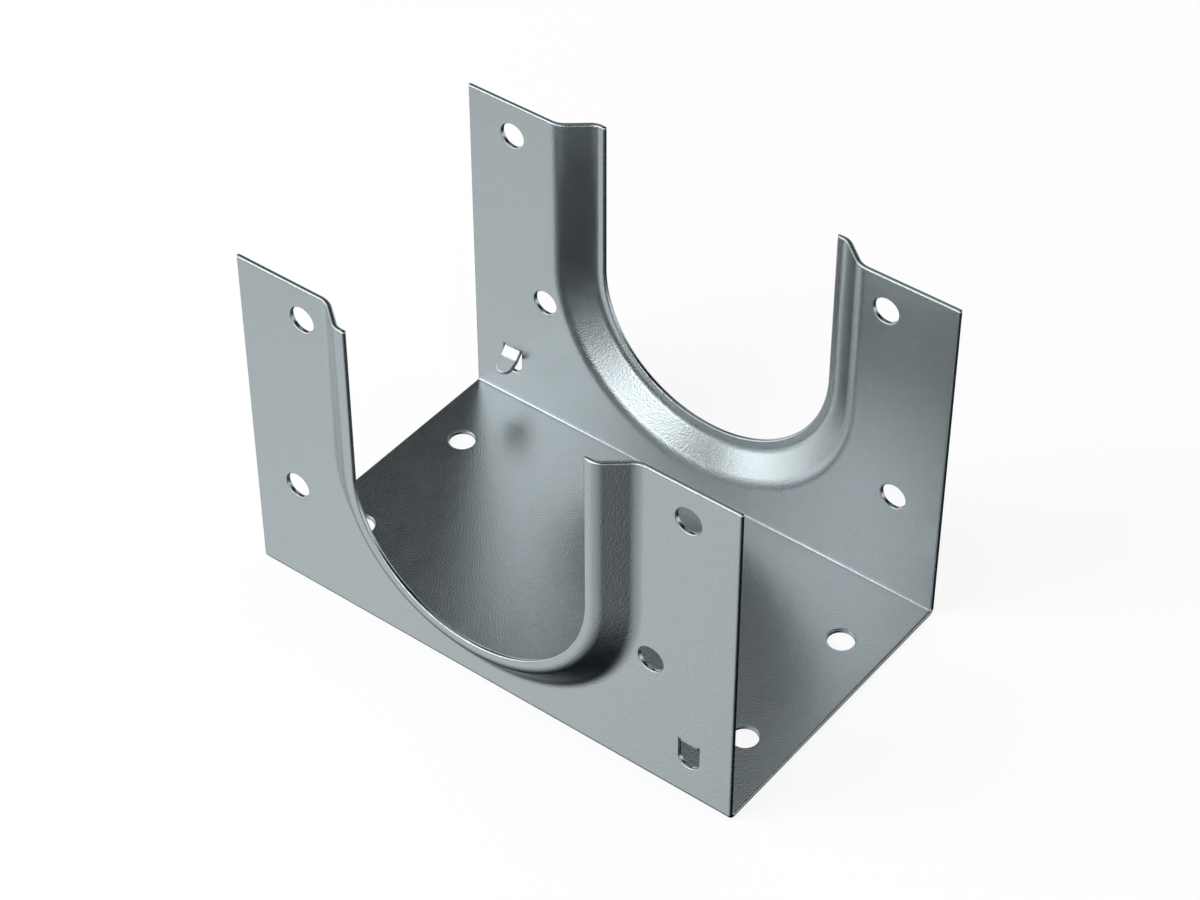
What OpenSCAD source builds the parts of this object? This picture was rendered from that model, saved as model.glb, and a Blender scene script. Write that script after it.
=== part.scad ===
/* [Sheet] */
// Thickness of the galvanised steel sheet
sheet_t = 1.2; // [0.8:0.1:1.8]
// Inside radius of the two long folds
fold_r = 0.6; // [0.3:0.1:2.4]

/* [Channel] */
// Length of the shoe along the stud
shoe_length = 133.4; // [128:0.2:180]
// Clear width between the two walls, for a double stud
stud_width = 77.2; // [60:0.2:130]
// Height of the walls, from the underside of the base
wall_height = 90.1; // [80:0.1:120]

/* [Pipe notch] */
// Width of the U-shaped notch in each wall
notch_width = 63.2; // [48:0.2:66]
// Height of the lowest point of the notch, from the underside of the base
notch_bottom = 17.5; // [16:0.1:30]

/* [Drawn rim] */
// Distance that the rim stands out from the wall
rim_offset = 5.5; // [3.5:0.1:6.2]
// Width of the rim, from the edge of the notch to the flat of the wall
rim_reach = 11.4; // [10.4:0.1:12]
// Slope of the rim's band against the wall, in degrees
rim_slope = 39; // [34:1:55]
// Mid-sheet radius of the bend where the band leaves the wall
rim_root_r = 5.4; // [2:0.1:6]
// Mid-sheet radius of the bend where the band meets the flat lip round the notch
rim_top_r = 4; // [2:0.1:5]

/* [Nail holes] */
// Diameter of every nail hole
nail_hole_d = 6.4; // [4:0.1:8]
// Distance of the two upper holes of a wall from its top edge
upper_hole_drop = 8.9; // [6:0.1:20]
// Distance of a wall's left upper hole from the left end, seen from outside
left_upper_inset = 18.1; // [8:0.1:20]
// Distance of a wall's right upper hole from the right end
right_upper_inset = 12.8; // [8:0.1:20]
// Distance of a wall's left lower hole from the left end
left_lower_inset = 12.6; // [8:0.1:20]
// Height of a wall's left lower hole above the underside
left_lower_height = 29.9; // [20:0.1:60]
// Distance of a wall's right lower hole from the right end
right_lower_inset = 21.7; // [8:0.1:22]
// Height of a wall's right lower hole above the underside
right_lower_height = 36.2; // [28:0.1:60]
// Distance of the base's holes from the ends
base_hole_inset = 11.3; // [6:0.1:30]
// Distance between the two rows of holes in the base
base_hole_spacing = 37.4; // [20:0.1:60]

/* [Prong] */
// Width of the slot that the prong is cut from
prong_width = 5.3; // [3:0.1:8]
// Length of that slot, from the prong's root to its round end
prong_length = 7.6; // [7:0.1:10]
// Height of the prong's root above the underside
prong_root_height = 17.1; // [13:0.1:22]
// Distance of the prong's middle from the wall's right end, seen from outside
prong_inset = 11.3; // [6:0.1:20]
// Lean of the prong's shank away from the wall, in degrees
prong_lean = 38; // [25:1:50]
// Lean of the prong's tip away from the wall, in degrees
prong_tip_lean = 60; // [52:1:75]
// Mid-sheet radius of the bend at the prong's root
prong_root_r = 1.2; // [1:0.1:2]
// Mid-sheet radius of the bend before the prong's tip
prong_tip_r = 2; // [1:0.1:3]
// Straight length between those two bends
prong_shank = 2.2; // [0.5:0.1:2.5]
// Gap that the punch leaves on each side of the prong
prong_gap = 0.25; // [0.05:0.05:0.4]

/* [Hidden] */
$fn = 96;
steel = [0.66, 0.70, 0.71];

half_t = sheet_t / 2;
half_length = shoe_length / 2;
fold_outer_r = fold_r + sheet_t;
// Middle of a wall's sheet, from the middle of the channel
wall_mid = stud_width / 2 + half_t;

// The notch is a half circle with straight legs above it
notch_r = notch_width / 2;
notch_axis = notch_bottom + notch_r;
leg_height = wall_height - notch_axis;

// The rim is two bends with a straight slope between them, and a flat lip round the notch
bend_rise = (rim_root_r + rim_top_r) * (1 - cos(rim_slope));
slope_length = (rim_offset - bend_rise) / sin(rim_slope);
band_width = (rim_root_r + rim_top_r) * sin(rim_slope) + slope_length * cos(rim_slope);
lip_width = rim_reach - band_width;
// Far enough from the notch's axis to cover a wall's lower corner
corner_reach = half_length + notch_axis;

// The prong bends twice, and its straight end is as long as the slot's metal allows
prong_curl = prong_tip_lean - prong_lean;
prong_tip_length = prong_length - prong_shank
    - (prong_root_r * prong_lean + prong_tip_r * prong_curl) * PI / 180;

// How much thinner the sheet gets on each side after a bend: a hair, too little to measure,
// so that the end of what follows lies within the end of the bend
hair = 0.001;

// The sections below follow the sheet from one stretch to the next: each stretch starts
// at the origin, runs along +x with the middle of the sheet on the x axis, and carries
// what follows on from its end as its children. $half is half of the thickness there
$half = half_t;

// A flat stretch of sheet
module flat(run) {
    translate([0, -$half]) square([run, 2 * $half]);
    translate([run, 0]) children();
}

// Takes what follows to the end of a bend to the left
module past_bend(mid_r, angle) {
    translate([0, mid_r]) rotate(angle) translate([0, -mid_r]) children();
}

// A bend to the left, by up to a right angle
module bend(mid_r, angle) {
    far = 2 * (mid_r + sheet_t);
    difference() {
        translate([0, mid_r]) circle(mid_r + $half);
        translate([0, mid_r]) circle(mid_r - $half);
        translate([-far, -far]) square([far, 3 * far]);
        past_bend(mid_r, angle) translate([0, -far]) square([far, 3 * far]);
    }
    past_bend(mid_r, angle) let ($half = $half - hair) children();
}

// A bend to the right
module bend_back(mid_r, angle) {
    mirror([0, 1]) bend(mid_r, angle) mirror([0, 1]) children();
}

// Section through one side of a notch: x is the distance from the notch's axis,
// and y is outward from the middle of the wall's sheet
module rim_section(reach) {
    band_start = notch_r + rim_reach;
    translate([band_start, 0]) {
        flat(reach - band_start);
        mirror([1, 0]) bend(rim_root_r, rim_slope) flat(slope_length)
            bend_back(rim_top_r, rim_slope) flat(lip_width);
    }
}

// The right half of a wall: a straight leg over a quarter turn about the notch's axis
module half_wall() {
    translate([0, 0, notch_axis])
        mirror([0, 1, 0]) linear_extrude(leg_height) rim_section(half_length);
    intersection() {
        translate([0, 0, notch_axis])
            rotate([90, 0, 0]) mirror([0, 1, 0]) rotate_extrude(angle = 90) rim_section(corner_reach);
        translate([0, -corner_reach, fold_outer_r])
            cube([half_length, 2 * corner_reach, notch_axis - fold_outer_r]);
    }
}

// A nail hole through a wall, at a distance from the wall's middle and a height
module wall_hole(along, up) {
    translate([along, 0, up])
        rotate([90, 0, 0]) cylinder(h = 3 * sheet_t, d = nail_hole_d, center = true);
}

// What the punch leaves off a strip to make its end round, from the centre of the round on
module end_waste(width) {
    difference() {
        translate([0, -width]) square([width, 2 * width]);
        circle(d = width);
    }
}

// Outline of the slot that the prong is cut from, running along +x from the prong's root
module slot_outline() {
    difference() {
        translate([0, -prong_width / 2]) square([prong_length, prong_width]);
        translate([prong_length - prong_width / 2, 0]) end_waste(prong_width);
    }
}

// The prong runs along +x from its root at the origin, and its bends take it towards +y
module prong() {
    width = prong_width - 2 * prong_gap;
    difference() {
        linear_extrude(width, center = true)
            bend(prong_root_r, prong_lean) flat(prong_shank)
            bend(prong_tip_r, prong_curl) flat(prong_tip_length);
        past_bend(prong_root_r, prong_lean) translate([prong_shank, 0])
            past_bend(prong_tip_r, prong_curl) translate([prong_tip_length - width / 2, 0])
            rotate([90, 0, 0]) linear_extrude(2 * sheet_t, center = true) end_waste(width);
    }
}

// One wall as seen from outside, standing on its fold, with the middle of its sheet at y = 0
module wall() {
    left = -half_length;
    prong_along = half_length - prong_inset;
    upper_height = wall_height - upper_hole_drop;
    difference() {
        union() {
            half_wall();
            mirror([1, 0, 0]) half_wall();
        }
        wall_hole(left + left_upper_inset, upper_height);
        wall_hole(half_length - right_upper_inset, upper_height);
        wall_hole(left + left_lower_inset, left_lower_height);
        wall_hole(half_length - right_lower_inset, right_lower_height);
        translate([prong_along, 0, prong_root_height]) rotate([90, 90, 0])
            linear_extrude(3 * sheet_t, center = true) slot_outline();
    }
    translate([prong_along, 0, prong_root_height]) rotate([0, 90, 0]) prong();
}

// The base with its two folds, drawn across the channel and run along it
module base() {
    difference() {
        rotate([90, 0, 90]) linear_extrude(shoe_length, center = true)
            for (side = [0, 1]) mirror([side, 0]) translate([0, half_t])
                flat(stud_width / 2 - fold_r) bend(fold_r + half_t, 90);
        for (x = [-1, 1], y = [-1, 1])
            translate([x * (half_length - base_hole_inset), y * base_hole_spacing / 2, half_t])
                cylinder(h = 3 * sheet_t, d = nail_hole_d, center = true);
    }
}

module stud_shoe() {
    color(steel) {
        base();
        for (turn = [0, 180]) rotate(turn) translate([0, -wall_mid, 0]) wall();
    }
}

stud_shoe();
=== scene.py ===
# %% [markdown]
# # A stud shoe, folded from one sheet of galvanised steel
#
# A stud shoe is nailed round a wall stud where a pipe has been let through it, and gives back
# the strength that the notch took. It starts as a flat sheet. A press punches the holes, draws
# the rims of the two U notches outward, bends a small prong in at each wall, and folds the
# sheet twice into a channel.
#
# The CAD solid already has all of these forms, but with knife-sharp edges and coarse bends. So
# the scene models the shoe once more, as the press would: first a sheet without thickness,
# then the thickness, then the small rounding that a cut edge has. It takes the solid's place.

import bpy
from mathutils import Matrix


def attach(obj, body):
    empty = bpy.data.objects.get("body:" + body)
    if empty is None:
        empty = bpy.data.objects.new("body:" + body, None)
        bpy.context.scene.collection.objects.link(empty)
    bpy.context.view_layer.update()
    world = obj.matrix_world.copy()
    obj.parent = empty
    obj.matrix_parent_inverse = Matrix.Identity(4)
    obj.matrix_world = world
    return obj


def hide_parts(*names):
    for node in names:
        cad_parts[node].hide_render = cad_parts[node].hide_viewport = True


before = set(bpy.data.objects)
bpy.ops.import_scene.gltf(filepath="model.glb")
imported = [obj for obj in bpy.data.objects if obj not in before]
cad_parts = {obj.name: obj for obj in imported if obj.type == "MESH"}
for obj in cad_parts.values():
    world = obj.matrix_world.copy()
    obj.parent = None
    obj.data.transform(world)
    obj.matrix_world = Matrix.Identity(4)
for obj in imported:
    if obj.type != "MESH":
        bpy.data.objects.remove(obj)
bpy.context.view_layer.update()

MM = 0.001


# %% [markdown]
# ## Selecting, as by hand
#
# In edit mode an operator acts on whatever is selected. By hand one clicks. A script could
# also go by the numbers of the vertices, but those change with every edit, so a small
# function picks vertices, edges or faces by where they are.

# %% Picking by place
import bmesh
import bpy
from mathutils import Vector

CLOSE = 0.01  # two places less than this many millimetres apart are the same


def near(a, b):
    """True if two measures in millimetres are the same."""
    return abs(a - b) < CLOSE


def net_of(piece):
    """The mesh of a piece that is in edit mode."""
    return bmesh.from_edit_mesh(piece.data)


def corners(part):
    """The corners of a vertex, an edge or a face, in millimetres."""
    return [v.co / MM for v in getattr(part, "verts", [part])]


def choose(piece, kind, wanted):
    """Selects the vertices, edges or faces that are wanted, and counts them."""
    bpy.ops.mesh.select_mode(type=kind)
    bpy.ops.mesh.select_all(action="DESELECT")
    net = net_of(piece)
    parts = {"VERT": net.verts, "EDGE": net.edges, "FACE": net.faces}[kind]
    chosen = [part for part in parts if wanted(part)]
    for part in chosen:
        part.select_set(True)
    bmesh.update_edit_mesh(piece.data)
    return len(chosen)


def pick(piece, kind, fits):
    """Selects those whose every corner fits, and counts them."""
    return choose(piece, kind, lambda part: all(fits(p) for p in corners(part)))


def selected(piece):
    """The places of the selected vertices, in millimetres."""
    return [v.co / MM for v in net_of(piece).verts if v.select]


# %% [markdown]
# ## Runs and bends
#
# A bent sheet is drawn with two moves: a straight run, which extrudes the selection, and a
# bend, which spins it round a centre. Both leave the new end selected, so that runs and bends
# follow each other like the strokes of a pen. Where strokes meet, a weld joins their ends.

# %% The moves that draw a sheet
import math

X_AXIS, Y_AXIS, Z_AXIS = (1, 0, 0), (0, 1, 0), (0, 0, 1)
WELD = 0.002


def mm(*numbers):
    """A point or a step that is given in millimetres."""
    return Vector(numbers) * MM


def run(*step):
    """Extrudes what is selected by a step in millimetres."""
    bpy.ops.mesh.extrude_region_move(TRANSFORM_OT_translate={"value": mm(*step)})


def bend(degrees, centre, axis, steps):
    """Spins what is selected round a centre in millimetres, anticlockwise about the axis."""
    bpy.ops.mesh.spin(steps=steps, angle=-math.radians(degrees), center=mm(*centre), axis=axis)


def weld():
    """Joins vertices that lie on each other."""
    bpy.ops.mesh.select_all(action="SELECT")
    bpy.ops.mesh.remove_doubles(threshold=WELD * MM)


# %% [markdown]
# ## The sizes
#
# These are the sizes of the CAD source, in millimetres. The sheet is drawn along the middle of
# its thickness, so every radius of a bend is a mid-sheet radius.

# %% Sizes of the shoe
SHEET = 1.2
HALF_LENGTH = 66.7
WALL_TOP = 90.1
WALL_MID = 39.2  # from the middle of the shoe to the middle of a wall's sheet
FOLD_R = 1.2
FOLD_Z = 1.8  # where the wall ends and the fold begins
BASE_Z = 0.6
NOTCH_R = 31.6
NOTCH_Z = 49.1  # the axis of the notch's half circle
RIM_OFFSET = 5.5  # how far the lip stands out from the wall
RIM_REACH = 11.4  # from the edge of the notch to the flat of the wall
RIM_SLOPE = 39  # degrees
ROOT_R, TOP_R = 5.4, 4.0  # the rim's bends, at the wall and at the lip
HOLE_R = 3.2
WALL_HOLES = [(-48.6, 81.2), (53.9, 81.2), (-54.1, 29.9), (45.0, 36.2)]
BASE_HOLES = [(x, y) for x in (-55.4, 55.4) for y in (-18.7, 18.7)]

slope_cos, slope_sin = math.cos(math.radians(RIM_SLOPE)), math.sin(math.radians(RIM_SLOPE))
slope_run = (RIM_OFFSET - (ROOT_R + TOP_R) * (1 - slope_cos)) / slope_sin
band = (ROOT_R + TOP_R) * slope_sin + slope_run * slope_cos
lip = RIM_REACH - band
rim_outer = NOTCH_R + RIM_REACH
print(f"the rim: lip {lip:.2f}, slope {slope_run:.2f}, flat wall from {rim_outer:.1f} mm")

# %% [markdown]
# ## The drawn rim
#
# Round each notch the sheet leans outward in an S and ends in a narrow flat lip. It has the
# same section everywhere, so the section is drawn first, from the edge of the notch to the
# flat of the wall: a plane is merged to one vertex, and runs and bends make the line.

# %% Section of the rim
TOP_STEPS, ROOT_STEPS = 10, 12
lip_y = -WALL_MID - RIM_OFFSET

bpy.ops.object.select_all(action="DESELECT")
bpy.ops.mesh.primitive_plane_add(size=MM, location=mm(NOTCH_R, lip_y, WALL_TOP))
shoe = bpy.context.object
shoe.name = "folded_sheet"
bpy.ops.object.transform_apply(location=True, rotation=True, scale=True)
bpy.ops.object.mode_set(mode="EDIT")
bpy.ops.mesh.select_mode(type="VERT")
bpy.ops.mesh.select_all(action="SELECT")
bpy.ops.mesh.merge(type="CENTER")

run(lip, 0, 0)
bend(RIM_SLOPE, (NOTCH_R + lip, lip_y + TOP_R, WALL_TOP), Z_AXIS, TOP_STEPS)
run(slope_run * slope_cos, slope_run * slope_sin, 0)
bend(-RIM_SLOPE, (rim_outer, -WALL_MID - ROOT_R, WALL_TOP), Z_AXIS, ROOT_STEPS)
section_end = selected(shoe)[0]
print("the section ends at", section_end)
assert near(section_end.x, rim_outer) and near(section_end.y, -WALL_MID)

# %% [markdown]
# The line is extruded down one leg, spun half a turn under the notch, and extruded up the
# other leg. A curve with a bevel object could do this too, but its ends and its joint to the
# flat wall would be harder to keep exact. The top of each leg is a short run of its own,
# because the cut edges will be rounded later, and a rounding runs cleanly only over a narrow
# collar of four-cornered faces.

# %% The rim's way round the notch
NOTCH_STEPS = 96
COLLAR = 0.56  # width of the faces beside a cut edge
leg = WALL_TOP - NOTCH_Z

bpy.ops.mesh.select_all(action="SELECT")
run(0, 0, -COLLAR)
run(0, 0, COLLAR - leg)
bend(180, (0, 0, NOTCH_Z), Y_AXIS, NOTCH_STEPS)
run(0, 0, leg - COLLAR)
run(0, 0, COLLAR)
low = min(v.co.z for v in net_of(shoe).verts) / MM
print("vertices in the rim:", len(net_of(shoe).verts), "lowest at", round(low, 2), "mm")
assert near(low, NOTCH_Z - rim_outer)

# %% [markdown]
# ## The flat of the wall
#
# The rest of the wall is flat, with four nail holes and the slot of the prong. Its top and its
# ends are cut edges too, so a narrow ribbon is drawn along them first, each piece extruded from
# the one before: to the right, down, along the fold, up and back to the rim. The holes are
# drawn as circles.

# %% Ribbon and nail holes of the front wall
RIBBON_X = HALF_LENGTH - COLLAR
RIBBON_Z = WALL_TOP - COLLAR
CIRCLE_STEPS = 64


def on_wall(p):
    """True if a point in millimetres lies in the flat of the front wall."""
    return near(p.y, -WALL_MID)


def draw_circle(radius, centre, upright):
    """Adds a circle in the plane of the wall if it stands upright, or else of the base."""
    bpy.ops.mesh.primitive_circle_add(
        vertices=CIRCLE_STEPS, radius=radius * MM, fill_type="NOTHING",
        location=mm(*centre), rotation=(math.radians(90) if upright else 0, 0, 0),
    )


pick(shoe, "EDGE", lambda p: on_wall(p) and near(p.x, rim_outer) and p.z > RIBBON_Z - CLOSE)
run(RIBBON_X - rim_outer, 0, 0)
run(COLLAR, 0, 0)
pick(shoe, "EDGE", lambda p: on_wall(p) and near(p.z, RIBBON_Z) and p.x > RIBBON_X - CLOSE)
run(0, 0, FOLD_Z - RIBBON_Z)
pick(shoe, "VERT", lambda p: on_wall(p) and near(p.z, FOLD_Z) and near(p.x, RIBBON_X))
run(-2 * RIBBON_X, 0, 0)
run(-COLLAR, 0, 0)
pick(shoe, "EDGE", lambda p: on_wall(p) and near(p.z, FOLD_Z) and p.x < CLOSE - RIBBON_X)
run(0, 0, RIBBON_Z - FOLD_Z)
run(0, 0, COLLAR)
pick(shoe, "EDGE", lambda p: on_wall(p) and near(p.x, -RIBBON_X) and p.z > RIBBON_Z - CLOSE)
run(RIBBON_X - rim_outer, 0, 0)

for x, z in WALL_HOLES:
    draw_circle(HOLE_R, (x, -WALL_MID, z), upright=True)
print("edges drawn on the wall:", pick(shoe, "EDGE", on_wall))

# %% [markdown]
# The slot starts as a circle too. Its upper half is taken away, and two straight sides are
# drawn from the ends of the lower half up to the prong's root. The root edge is drawn in three
# lengths: the middle one is the prong's own, and the short ones are the gaps beside it.

# %% The slot
PRONG_X = 55.4
PRONG_Z = 17.1  # the prong's root
PRONG_HALF = 2.4
SLOT_HALF = 2.65
SLOT_LENGTH = 7.6
slot_low = PRONG_Z - SLOT_LENGTH
slot_centre = slot_low + SLOT_HALF
gap = SLOT_HALF - PRONG_HALF


def in_slot(p):
    """True if a point in millimetres lies on the outline of the slot."""
    beside = abs(p.x - PRONG_X) < SLOT_HALF + CLOSE
    return on_wall(p) and beside and slot_low - CLOSE < p.z < PRONG_Z + CLOSE


draw_circle(SLOT_HALF, (PRONG_X, -WALL_MID, slot_centre), upright=True)
pick(shoe, "VERT", lambda p: in_slot(p) and p.z > slot_centre + CLOSE)
bpy.ops.mesh.delete(type="VERT")
pick(shoe, "VERT", lambda p: in_slot(p) and near(p.z, slot_centre) and p.x < PRONG_X)
run(0, 0, PRONG_Z - slot_centre)
run(gap, 0, 0)
run(2 * PRONG_HALF, 0, 0)
run(gap, 0, 0)
run(0, 0, slot_centre - PRONG_Z)
weld()
print("vertices on the slot's outline:", pick(shoe, "VERT", in_slot))

# %% [markdown]
# Fill makes the flat between all of these outlines at once. Each hole is then closed by a disc
# for a moment: an inset that is told to go outward puts a narrow ring round every disc, and the
# discs are deleted again. Cutting the holes with a boolean would also work, but would leave
# long thin corners beside the cut edges.

# %% The flat between the outlines, and a ring round each hole
SLOT_COLLAR = 0.9


def fill_flat(piece, inside):
    """Fills between the open edges that lie inside a part of the sheet."""
    choose(piece, "EDGE", lambda edge: (
        len(edge.link_faces) < 2 and all(inside(p) for p in corners(edge))
    ))
    bpy.ops.mesh.fill(use_beauty=True)


def ring(piece, round_hole, collar):
    """Puts a narrow ring of faces round a hole, by way of a disc that is deleted again."""
    pick(piece, "VERT", round_hole)
    bpy.ops.mesh.edge_face_add()
    choose(piece, "FACE", lambda face: (
        len(face.verts) > 4 and all(round_hole(p) for p in corners(face))
    ))
    bpy.ops.mesh.inset(
        thickness=collar * MM, use_outset=True, use_boundary=False, use_even_offset=True
    )
    bpy.ops.mesh.delete(type="FACE")


fill_flat(shoe, lambda p: (
    on_wall(p) and abs(p.x) < RIBBON_X + CLOSE and p.z < RIBBON_Z + CLOSE
))
ring(shoe, in_slot, SLOT_COLLAR)
for x, z in WALL_HOLES:
    middle = Vector((x, -WALL_MID, z))
    ring(shoe, lambda p: (p - middle).length < HOLE_R + CLOSE, COLLAR)
print("faces of the front wall:", len(net_of(shoe).faces))

# %% [markdown]
# ## The prong
#
# The prong is a tongue of the same sheet that stays joined at the top of its slot. It could be
# a piece of its own that is set against the wall, but then there would be a seam at its root.
# So its root edge is bent inward, run on, bent again and run on, just as the punch does it.

# %% The prong's bends
ROOT_BEND_R, TIP_BEND_R = 1.2, 2.0
LEAN, TIP_LEAN = 38, 60  # degrees away from the wall
SHANK = 2.2  # straight length between the two bends
PRONG_STEPS = 6
curl = TIP_LEAN - LEAN
tip_run = SLOT_LENGTH - SHANK - math.radians(ROOT_BEND_R * LEAN + TIP_BEND_R * curl)
straight = tip_run - PRONG_HALF


def along(lean):
    """The direction in which the prong runs where it leans so far, in degrees."""
    return Vector((0, math.sin(math.radians(lean)), -math.cos(math.radians(lean))))


def across(lean):
    """The direction from the prong to the centre of its bends there."""
    return Vector((0, math.cos(math.radians(lean)), math.sin(math.radians(lean))))


here = Vector((PRONG_X, -WALL_MID, PRONG_Z))
pick(shoe, "EDGE", lambda p: (
    on_wall(p) and near(p.z, PRONG_Z) and abs(p.x - PRONG_X) < PRONG_HALF + CLOSE
))
bend(LEAN, here + ROOT_BEND_R * across(0), X_AXIS, PRONG_STEPS)
here += ROOT_BEND_R * (across(0) - across(LEAN))
run(*(SHANK * along(LEAN)))
here += SHANK * along(LEAN)
bend(curl, here + TIP_BEND_R * across(LEAN), X_AXIS, PRONG_STEPS)
here += TIP_BEND_R * (across(LEAN) - across(TIP_LEAN))
run(*(straight * along(TIP_LEAN)))
here += straight * along(TIP_LEAN)
ends = selected(shoe)
print("the prong's straight end:", *ends, "expected middle:", here)

# %% [markdown]
# The round end is the half circle that a corner of the prong draws when it is spun round the
# middle of the straight end. One face closes the half disc.

# %% The prong's round end
TIP_STEPS = 24

corner = max(ends, key=lambda p: p.x)
pick(shoe, "VERT", lambda p: (p - corner).length < CLOSE)
bend(180, here, across(TIP_LEAN), TIP_STEPS)
weld()


def past_end(p):
    """True if a point in millimetres lies on the prong, at its straight end or further on."""
    beside = abs(p.x - PRONG_X) < PRONG_HALF + CLOSE
    return beside and not on_wall(p) and (p - here).dot(along(TIP_LEAN)) > -CLOSE


choose(shoe, "EDGE", lambda edge: (
    len(edge.link_faces) < 2 and all(past_end(p) for p in corners(edge))
))
bpy.ops.mesh.edge_face_add()
tip = max(net_of(shoe).verts, key=lambda v: v.co.y).co / MM
print("the prong's tip reaches y =", round(tip.y, 2), "z =", round(tip.z, 2))

# %% [markdown]
# ## The fold and the second wall
#
# The lower edge of the wall is spun a quarter turn inward: that is the fold. Then everything is
# doubled and the copy turned half round, because the two walls are the same press tool turned
# end for end. A mirrored copy would put the back wall's holes and prong at the wrong end.

# %% The fold and the back wall
FOLD_STEPS = 12

pick(shoe, "EDGE", lambda p: on_wall(p) and near(p.z, FOLD_Z))
bend(90, (0, -WALL_MID + FOLD_R, FOLD_Z), X_AXIS, FOLD_STEPS)
folded = selected(shoe)
print("the fold ends at", *folded)
assert all(near(p.z, BASE_Z) for p in folded)

bpy.ops.mesh.select_all(action="SELECT")
bpy.ops.mesh.duplicate()
bpy.ops.transform.rotate(
    value=math.radians(180), orient_axis="Z", orient_type="GLOBAL", center_override=(0, 0, 0)
)

# %% [markdown]
# ## The base
#
# The base lies between the two folds. A narrow ribbon at each end goes from fold to fold, and
# the circles of the nail holes, one more fill and four rings make the rest, as on the wall.

# %% The base between the folds
def on_base(p):
    """True if a point in millimetres lies in the flat of the base."""
    return near(p.z, BASE_Z)


for x, y in BASE_HOLES:
    draw_circle(HOLE_R, (x, y, BASE_Z), upright=False)
for side in (-1, 1):
    count = pick(shoe, "VERT", lambda p: on_base(p) and side * p.x > RIBBON_X - CLOSE)
    bpy.ops.mesh.edge_face_add()
    print("corners of a ribbon:", count)
fill_flat(shoe, lambda p: on_base(p) and abs(p.x) < RIBBON_X + CLOSE)
for x, y in BASE_HOLES:
    middle = Vector((x, y, BASE_Z))
    ring(shoe, lambda p: (p - middle).length < HOLE_R + CLOSE, COLLAR)
bpy.ops.mesh.select_all(action="SELECT")
bpy.ops.mesh.normals_make_consistent(inside=False)

faces_at = [len(edge.link_faces) for edge in net_of(shoe).edges]
print("faces:", len(net_of(shoe).faces), "loose edges:", faces_at.count(0),
      "edges with too many faces:", sum(1 for count in faces_at if count > 2))
bpy.ops.object.mode_set(mode="OBJECT")

# %% [markdown]
# ## Thickness
#
# Solidify gives the sheet its 1.2 mm, half to each side, and puts the cut faces in the second
# material slot. An extrusion along the normals could thicken the sheet too, but then the cut
# faces would still have to be found and given their material.

# %% Solidify
bpy.ops.object.select_all(action="DESELECT")
shoe.select_set(True)
bpy.context.view_layer.objects.active = shoe


def finish_with(kind, **settings):
    """Adds a modifier to the shoe and applies it."""
    modifier = shoe.modifiers.new(kind.title(), kind)
    for name, value in settings.items():
        setattr(modifier, name, value)
    bpy.ops.object.modifier_apply(modifier=modifier.name)
    print(kind, "->", len(shoe.data.polygons), "faces")


shoe.data.materials.append(None)
shoe.data.materials.append(None)
finish_with("SOLIDIFY", thickness=SHEET * MM, offset=0, use_even_offset=True,
            use_rim=True, material_offset_rim=1)

# %% [markdown]
# ## Cut edges
#
# Bevel rounds the edges between the two materials, which are the cut edges and no others: each
# of them is given a weight, and Bevel goes by the weights. Punching and the zinc leave them
# rounded by about half a millimetre, a little less at the small holes, and that rounding is
# what catches the light as a thin white line along every hole and edge.

# %% Rounding
CUT_ROUND = 0.5
HOLE_SHARE = 0.7  # of the rounding, at nail holes, slots and prongs
CUT_STEPS = 5
BY_HOLE = 0.1  # a cut edge no further than this from a hole's outline belongs to it


def beside_hole(p):
    """True if a point in millimetres lies on the edge of a nail hole, of a slot or of a prong."""
    side = -1 if p.y > 0 else 1  # the back wall is the front wall turned half round
    along_wall = side * p.x
    nail = any(math.hypot(along_wall - x, p.z - z) < HOLE_R + BY_HOLE for x, z in WALL_HOLES)
    base_nail = any(math.hypot(p.x - x, p.y - y) < HOLE_R + BY_HOLE for x, y in BASE_HOLES)
    prong = abs(along_wall - PRONG_X) < SLOT_HALF + BY_HOLE and p.z < PRONG_Z + BY_HOLE
    return nail or base_nail or prong


def is_cut(edge):
    """True if an edge lies between the two materials."""
    return len({face.material_index for face in edge.link_faces}) == 2


bpy.ops.object.mode_set(mode="EDIT")
for weight, at_hole in ((HOLE_SHARE, True), (1.0, False)):
    count = choose(shoe, "EDGE", lambda edge: (
        is_cut(edge) and beside_hole(corners(edge)[0]) == at_hole
    ))
    bpy.ops.transform.edge_bevelweight(value=weight)
    print("edges rounded by", round(weight * CUT_ROUND, 2), "mm:", count)
bpy.ops.object.mode_set(mode="OBJECT")
finish_with("BEVEL", width=CUT_ROUND * MM, segments=CUT_STEPS, limit_method="WEIGHT",
            use_clamp_overlap=False, loop_slide=False)

# %% [markdown]
# Smooth shading hides the steps in the bends. Weighted Normal lets the large flat faces set the
# shading beside a rounding, so that the flats look flat right up to it. Then the shoe is told
# which body it moves with, and the CAD solid whose place it takes is hidden.

# %% Shading, and the shoe's place in the frame
bpy.ops.object.shade_smooth()
finish_with("WEIGHTED_NORMAL", weight=60, keep_sharp=True)

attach(shoe, "root")
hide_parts("stud_shoe")

# %% [markdown]
# ## Materials as sums
#
# A finish is easier to read as a sum than as a drawing of nodes. One small class stands for a
# socket: adding, subtracting or multiplying it adds the Math node for that. Every other node
# comes from one method, which sets the node up first and then feeds its sockets.

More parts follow.
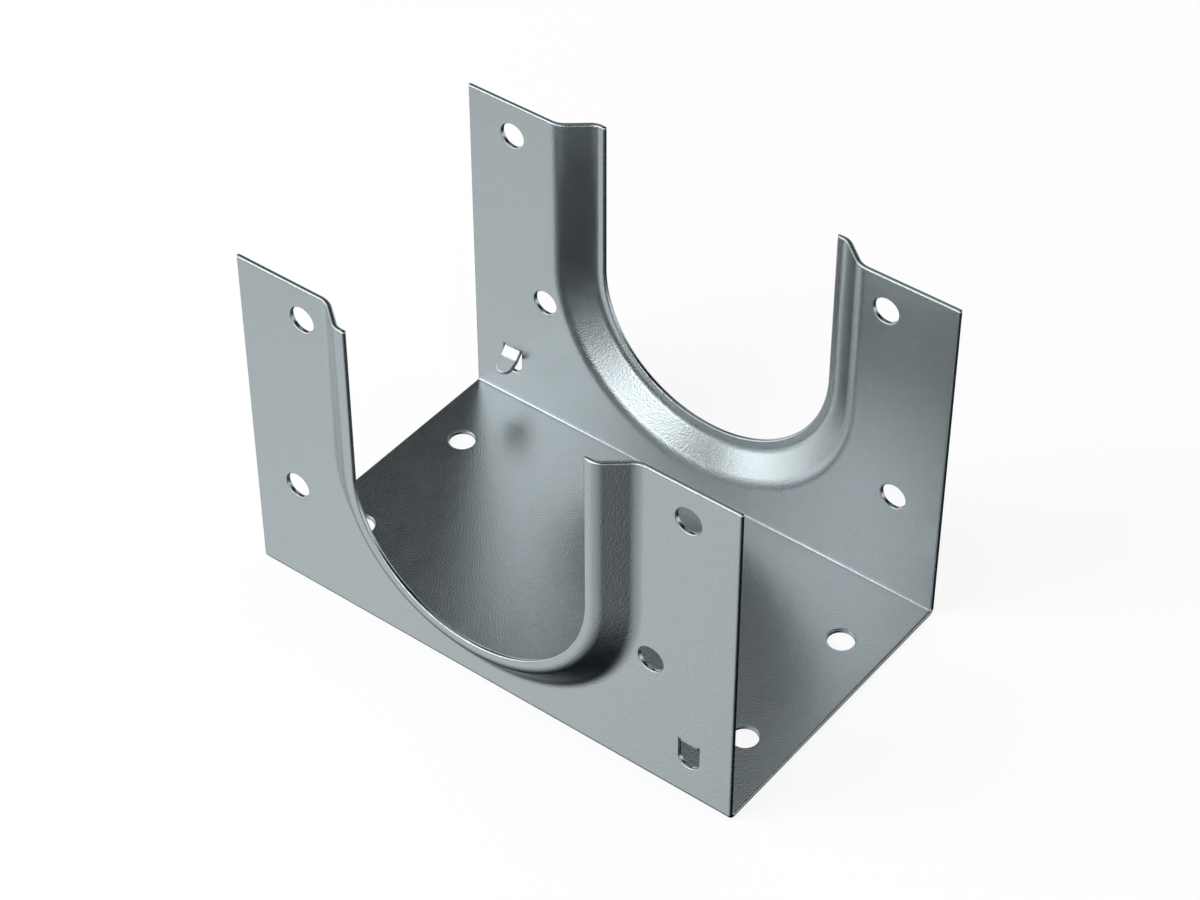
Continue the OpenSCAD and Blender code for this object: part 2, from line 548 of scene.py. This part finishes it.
# %% The classes that write nodes
class Wire:
    """An output socket that can be used in a sum."""

    def __init__(self, bench, socket):
        self.bench, self.socket = bench, socket

    def maths(self, operation, first, second):
        """A Math node of two wires or numbers."""
        return self.bench.node("ShaderNodeMath", {"operation": operation}, {0: first, 1: second})

    def __add__(self, other):
        return self.maths("ADD", self, other)

    def __sub__(self, other):
        return self.maths("SUBTRACT", self, other)

    def __rsub__(self, other):
        return self.maths("SUBTRACT", other, self)

    def __mul__(self, other):
        return self.maths("MULTIPLY", self, other)

    __radd__, __rmul__ = __add__, __mul__


class Bench:
    """The node tree of a material or of the world."""

    def __init__(self, owner):
        owner.use_nodes = True
        self.tree = owner.node_tree
        self.tree.nodes.clear()

    def node(self, kind, settings=None, inputs=None, output=0):
        """Makes a node: its settings first, then the values or wires of its sockets."""
        made = self.tree.nodes.new(kind)
        for name, value in (settings or {}).items():
            setattr(made, name, value)
        for name, value in (inputs or {}).items():
            if isinstance(value, Wire):
                self.tree.links.new(value.socket, made.inputs[name])
            else:
                made.inputs[name].default_value = value
        return Wire(self, made.outputs[output]) if made.outputs else None

    def place(self):
        """Where a point lies in the object's own coordinates, in metres."""
        return self.node("ShaderNodeTexCoord", output="Object")

    def noise(self, scale, detail):
        """Smooth noise from 0 to 1, about 0.5, with so many waves to the metre."""
        inputs = {"Vector": self.place(), "Scale": scale, "Detail": detail}
        return self.node("ShaderNodeTexNoise", None, inputs)

    def mix(self, share, first, second):
        """A colour between two: the first where the share is 0, the second where it is 1."""
        # A Mix node has its colours at the inputs 6 and 7 and at the output 2
        inputs = {0: share, 6: (*first, 1), 7: (*second, 1)}
        return self.node("ShaderNodeMix", {"data_type": "RGBA"}, inputs, output=2)

    def metal(self, colour, roughness, height, depth, strength):
        """A metal surface whose relief is so many metres deep, for the whole material."""
        relief = {"Height": height, "Distance": depth, "Strength": strength}
        surface = self.node("ShaderNodeBsdfPrincipled", None, {
            "Base Color": colour, "Metallic": 1.0, "Roughness": roughness,
            "Normal": self.node("ShaderNodeBump", None, relief),
        })
        self.node("ShaderNodeOutputMaterial", None, {"Surface": surface})


# %% [markdown]
# ## The zinc coating
#
# Galvanised sheet is steel under a few hundredths of a millimetre of zinc. It is rolled smooth
# and has gone a little dull: a metal that blurs what it reflects. Three things vary over it.
# Broad clouds, and patches a few millimetres wide that the crystals of the zinc leave, change
# the colour and the blur by a few hundredths. A fine grain roughens the surface, and makes its
# dark reflections look speckled. A scanned picture of zinc could be laid on instead, but would
# need unfolding. These follow the object's own coordinates and stay put when the shoe is turned.

# %% Zinc
ZINC_DARK, ZINC_LIGHT = (0.575, 0.593, 0.60), (0.67, 0.69, 0.698)
GRAIN_DEPTH = 0.000066

zinc_material = bpy.data.materials.new("zinc_coating")
zinc = Bench(zinc_material)
clouds = zinc.noise(45, 3)
patches = zinc.noise(260, 2)
grain = zinc.noise(2450, 2)
shade = clouds * 0.5 + patches * 0.3 + grain * 0.2
dullness = clouds * 0.06 + patches * 0.05 + 0.18
zinc.metal(zinc.mix(shade, ZINC_DARK, ZINC_LIGHT), dullness, grain, GRAIN_DEPTH, 1.0)
shoe.data.materials[0] = zinc_material
print("nodes of the zinc:", len(zinc.tree.nodes))

# %% [markdown]
# ## The bare edges
#
# The press cuts through zinc and steel alike, and smears a little zinc over the cut. So the
# edges are a metal nearly as light as the faces, without their grain, but with fine marks
# where the punch has sheared it.

# %% Bare cut steel
STEEL_DARK, STEEL_LIGHT = (0.52, 0.54, 0.55), (0.66, 0.68, 0.69)
MARK_DEPTH = 0.00002

edge_material = bpy.data.materials.new("cut_steel")
steel = Bench(edge_material)
marks = steel.noise(1500, 2)
steel.metal(steel.mix(marks, STEEL_DARK, STEEL_LIGHT), marks * 0.1 + 0.20, marks, MARK_DEPTH, 0.5)
shoe.data.materials[1] = edge_material
print("materials:", [m.name for m in shoe.data.materials])

# %% [markdown]
# ## The floor
#
# The shoe stands on nothing but white in the photograph. A plane keeps its soft shadow: it is
# a pale matt table to the light that falls on it, and what the camera sees of it is lifted
# nearly to white. Reflections don't see it, because the room has light of its own below. The
# background alone would be white too, but then the shoe would seem to float.

# %% A pale table, lifted to white
FLOOR_SIZE = 6
FLOOR_GREY = (0.90, 0.90, 0.90, 1)
WHITE = (1, 1, 1, 1)
LIFT = 0.85  # how much of the white is in what the camera sees


def seen_rays(bench):
    """1 for rays that come straight from the camera, or by way of metal or glass, or else 0."""
    return sum(
        bench.node("ShaderNodeLightPath", output=name)
        for name in ("Is Camera Ray", "Is Glossy Ray", "Is Transmission Ray")
    )


bpy.ops.object.select_all(action="DESELECT")
bpy.ops.mesh.primitive_plane_add(size=FLOOR_SIZE, location=(0, 0, 0))
floor = bpy.context.object
floor.name = "floor"
bpy.ops.object.mode_set(mode="EDIT")
bpy.ops.mesh.select_all(action="SELECT")
bpy.ops.mesh.subdivide(number_cuts=3)
bpy.ops.object.mode_set(mode="OBJECT")
floor_material = bpy.data.materials.new("pale_table")
table = Bench(floor_material)
matt = table.node("ShaderNodeBsdfDiffuse", None, {"Color": FLOOR_GREY})
glow = table.node("ShaderNodeEmission", None, {"Color": WHITE, "Strength": 1.0})
lifted = table.node("ShaderNodeMixShader", None, {0: seen_rays(table) * LIFT, 1: matt, 2: glow})
table.node("ShaderNodeOutputMaterial", None, {"Surface": lifted})
floor.data.materials.append(floor_material)
floor.visible_glossy = False
print("floor:", FLOOR_SIZE, "m across,", len(floor.data.polygons), "faces")

# %% [markdown]
# ## The room
#
# Metal looks like what stands around it. In the photograph the metal shows bright screens in
# front and to the left, a fainter light from below, and dark space behind and to the right.
# Lamps alone would give small hard glints. So a sphere that only reflections see stands for the
# room: nearly black, with broad soft panels of light that fade out at their edges. A weaker
# band goes round the back, for the sides of the shoe that the photograph doesn't show.
#
# How bright a panel is follows from the cosine of the angle between its middle and the
# direction that is looked at. It is scaled to be 1 at the middle and 0 at the panel's reach,
# and then squared, so that no edge shows.

# %% The panels of light
# Each panel: the azimuth and elevation of its middle and its reach, in degrees, and its strength
PANELS = [
    # from below
    (195, -42, 33, 0.31), (225, -42, 35, 0.57), (255, -42, 30, 0.34), (285, -42, 27, 0.38),
    (312, -35, 25, 0.08),
    # a little below the horizon, in front and to the left
    (190, -12, 35, 1.05), (235, -12, 35, 0.17), (262, -12, 25, 0.50),
    # the screens
    (215, 18, 35, 1.60), (185, 22, 32, 0.42), (240, 20, 30, 1.50), (262, 18, 31, 2.10),
    (287, 11, 33, 1.62),
    # from above
    (225, 50, 30, 0.62), (205, 62, 25, 0.50), (255, 48, 28, 0.10), (110, 70, 35, 0.50),
    # the band round the back
    (325, -10, 24, 0.80), (340, 0, 28, 0.80), (5, -4, 32, 0.80), (32, -2, 32, 0.85),
    (62, -2, 32, 0.85), (92, -2, 32, 0.90), (120, 4, 30, 1.10), (148, -6, 28, 0.90),
]


def direction(azimuth, elevation):
    """The unit vector that points that way, in degrees."""
    a, e = math.radians(azimuth), math.radians(elevation)
    return Vector((math.cos(a) * math.cos(e), math.sin(a) * math.cos(e), math.sin(e)))


def panel_light(bench, looking, azimuth, elevation, reach, strength):
    """How bright a panel is in the direction that is looked at."""
    facing = bench.node(
        "ShaderNodeVectorMath", {"operation": "DOT_PRODUCT"},
        {0: looking, 1: direction(azimuth, elevation)}, output="Value",
    )
    rim = math.cos(math.radians(reach))
    fade = bench.node(
        "ShaderNodeMath", {"operation": "MULTIPLY", "use_clamp": True},
        {0: facing - rim, 1: 1 / (1 - rim)},
    )
    return fade * fade * strength


print("panels of light:", len(PANELS))

# %% [markdown]
# The panels are added up to one number. Vector Math then gives it the cool tint of the screens
# and adds the faint blue-green of the dark room, and the sphere glows with that colour.

# %% The room, as reflections see it
ROOM_R = 2.0
PANEL_TINT = (0.925, 1.0, 1.02)
DARK = (0.001, 0.005, 0.006)

bpy.ops.mesh.primitive_uv_sphere_add(
    segments=64, ring_count=32, radius=ROOM_R, location=(0, 0, 0)
)
room = bpy.context.object
room.name = "room"
room_material = bpy.data.materials.new("room_light")
cloth = Bench(room_material)
looking = cloth.node("ShaderNodeVectorMath", {"operation": "NORMALIZE"}, {0: cloth.place()})
brightness = sum(panel_light(cloth, looking, *panel) for panel in PANELS)
shine = cloth.node(
    "ShaderNodeVectorMath", {"operation": "MULTIPLY_ADD"}, {0: brightness, 1: PANEL_TINT, 2: DARK}
)
glowing = cloth.node("ShaderNodeEmission", None, {"Color": shine, "Strength": 1.0})
cloth.node("ShaderNodeOutputMaterial", None, {"Surface": glowing})
room.data.materials.append(room_material)
room.visible_camera = room.visible_diffuse = room.visible_shadow = False
room.visible_transmission = False
print("nodes of the room:", len(cloth.tree.nodes))

# %% [markdown]
# ## The surround and the lamp
#
# The background is plain white to the camera, and a light grey to the light that it sheds on
# the floor from all sides. One broad lamp from the front left adds the shadow's direction.
# Reflections don't see it, because the room has its own screens there.

# %% The world and the lamp
SURROUND_GREY, SURROUND_WHITE = (0.75, 0.75, 0.75), (1, 1, 1)

world = bpy.data.worlds.new("white_surround")
bpy.context.scene.world = world
air = Bench(world)
backdrop = air.mix(seen_rays(air), SURROUND_GREY, SURROUND_WHITE)
surround = air.node("ShaderNodeBackground", None, {"Color": backdrop, "Strength": 1.0})
air.node("ShaderNodeOutputWorld", None, {"Surface": surround})

bpy.ops.object.light_add(type="AREA", location=(-0.55, -0.72, 0.82))
lamp = bpy.context.object
lamp.name = "soft_lamp"
lamp.data.size = 0.7
lamp.data.energy = 9
lamp.rotation_euler = (-Vector(lamp.location)).to_track_quat("-Z", "Y").to_euler()
lamp.visible_glossy = False
print("the lamp:", round(lamp.location.length, 2), "m away,", lamp.data.energy, "W")

# %% [markdown]
# ## The camera
#
# The camera was fitted to the corners of the shoe in the photograph: it stands 0.71 m away,
# 42 degrees up and 38 degrees round, with a long lens, so the walls converge only a little.

# %% Camera
CAMERA_AT = (0.32201, -0.41671, 0.52082)
CAMERA_TURN = (47.7208, 0.0535, 37.5570)  # degrees
LENS, SENSOR = 96.19, 36.0  # millimetres

bpy.ops.object.camera_add(
    location=CAMERA_AT, rotation=[math.radians(angle) for angle in CAMERA_TURN]
)
camera = bpy.context.object
camera.data.sensor_width = SENSOR
camera.data.lens = LENS
camera.data.clip_start, camera.data.clip_end = 0.01, 20
bpy.context.scene.camera = camera
bpy.context.scene.view_settings.view_transform = "Standard"
print("the camera sees", round(math.degrees(camera.data.angle), 1), "degrees across")
